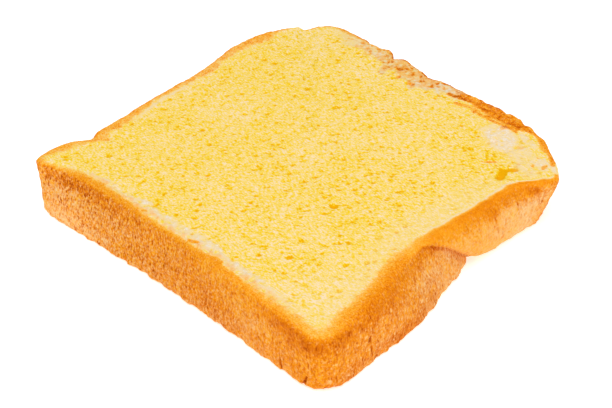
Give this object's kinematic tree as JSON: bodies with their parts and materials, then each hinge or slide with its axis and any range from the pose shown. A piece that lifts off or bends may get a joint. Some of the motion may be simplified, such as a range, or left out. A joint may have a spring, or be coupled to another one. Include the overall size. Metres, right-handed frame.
{
  "type": "buttered bread slice",
  "caption": "Thick slice of white tin-loaf bread lying on a cut face, upper face soaked with melted butter, browned crust all round and a folded lobe of crust on one side.",
  "frame": {"origin": "middle of the slice's box in plan, on the lower cut face that it rests on", "axes": "+Z is the slice's thickness, up from the lower cut face; +Y points from the heel to the domed crown; +X points to the side with the folded lobe"},
  "size_m": [0.1296, 0.1284, 0.02],
  "materials": {
    "bread": "soft porous crumb soaked with butter, browned crust round the sides"
  },
  "bodies": {
    "root": {"bread_slice": "bread"}
  },
  "joints": []
}
